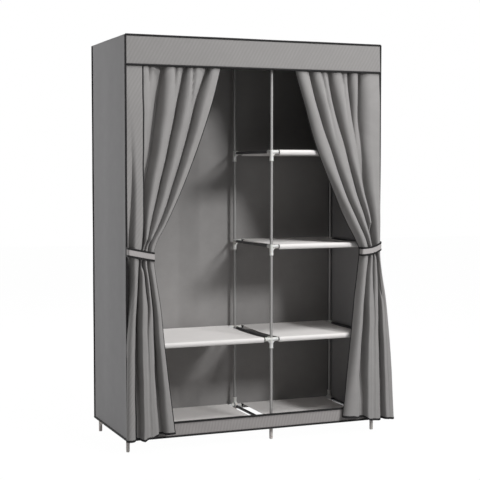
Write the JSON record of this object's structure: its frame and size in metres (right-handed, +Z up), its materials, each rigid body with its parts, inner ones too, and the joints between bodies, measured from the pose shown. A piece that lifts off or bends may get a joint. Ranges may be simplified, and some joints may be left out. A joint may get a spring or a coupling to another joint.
{
  "type": "portable fabric wardrobe",
  "caption": "Thin steel tube frame in plastic connectors with cloth shelves and a hanging space, a boxy cloth cover with piped seams, and gathered front curtains tied back.",
  "frame": {"origin": "on the floor under the middle of the whole, curtains and straps included", "axes": "+X to the right seen from the front, +Y from the front to the back, +Z up"},
  "size_m": [1.16, 0.5226, 1.615],
  "materials": {
    "cloth_grey": "matt non-woven cloth, fine ribbed weave print",
    "cloth_white": "matt white non-woven cloth",
    "tube_steel": "thin steel tube, silver-grey powder coat with a satin sheen",
    "connector_plastic": "moulded off-white polypropylene",
    "foot_plastic": "moulded beige-grey polypropylene"
  },
  "bodies": {
    "root": {"post_front_left": "tube_steel", "post_rear_left": "tube_steel", "post_front_centre": "tube_steel", "post_rear_centre": "tube_steel", "post_front_right": "tube_steel", "post_rear_right": "tube_steel", "foot_front_left": "foot_plastic", "foot_rear_left": "foot_plastic", "foot_front_centre": "foot_plastic", "foot_rear_centre": "foot_plastic", "foot_front_right": "foot_plastic", "foot_rear_right": "foot_plastic", "rung_floor_left": "connector_plastic", "rung_floor_centre": "connector_plastic", "rung_floor_right": "connector_plastic", "rung_low_left": "connector_plastic", "rung_low_centre": "connector_plastic", "rung_low_right": "connector_plastic", "rung_middle_centre": "connector_plastic", "rung_middle_right": "connector_plastic", "rung_high_centre": "connector_plastic", "rung_high_right": "connector_plastic", "rung_top_left": "connector_plastic", "rung_top_centre": "connector_plastic", "rung_top_right": "connector_plastic", "tube_floor_front_left": "tube_steel", "tube_floor_rear_left": "tube_steel", "tube_floor_front_right": "tube_steel", "tube_floor_rear_right": "tube_steel", "tube_low_front_left": "tube_steel", "tube_low_rear_left": "tube_steel", "tube_low_front_right": "tube_steel", "tube_low_rear_right": "tube_steel", "tube_middle_front_right": "tube_steel", "tube_middle_rear_right": "tube_steel", "tube_high_front_right": "tube_steel", "tube_high_rear_right": "tube_steel", "tube_top_front_left": "tube_steel", "tube_top_rear_left": "tube_steel", "tube_top_front_right": "tube_steel", "tube_top_rear_right": "tube_steel", "hanging_rail": "tube_steel", "curtain_rod": "tube_steel", "shelf_floor_left": "cloth_white", "shelf_floor_right": "cloth_white", "shelf_low_left": "cloth_white", "shelf_low_right": "cloth_white", "shelf_middle_right": "cloth_white", "shelf_high_right": "cloth_white", "cover_top": "cloth_grey", "cover_back": "cloth_grey", "cover_left": "cloth_grey", "cover_right": "cloth_grey", "cover_valance": "cloth_grey", "cover_bottom_band": "cloth_grey"},
    "left_curtain": {"curtain_left": "cloth_grey"},
    "right_curtain": {"curtain_right": "cloth_grey"},
    "left_tieback": {"tieback_left": "cloth_grey"},
    "right_tieback": {"tieback_right": "cloth_grey"}
  },
  "joints": [
    {"name": "left_curtain_draw", "type": "slide", "parent": "root", "child": "left_curtain", "axis": [1, 0, 0], "range_m": [0, 0.14], "deforming": ["curtain_left"]},
    {"name": "right_curtain_draw", "type": "slide", "parent": "root", "child": "right_curtain", "axis": [-1, 0, 0], "range_m": [0, 0.14], "deforming": ["curtain_right"]},
    {"name": "left_tieback_swing", "type": "hinge", "parent": "root", "child": "left_tieback", "pos_m": [-0.5715, -0.2153, 0.775], "axis": [0, 0, -1], "range_deg": [0, 100]},
    {"name": "right_tieback_swing", "type": "hinge", "parent": "root", "child": "right_tieback", "pos_m": [0.5305, -0.2153, 0.775], "axis": [0, 0, 1], "range_deg": [0, 100]}
  ]
}
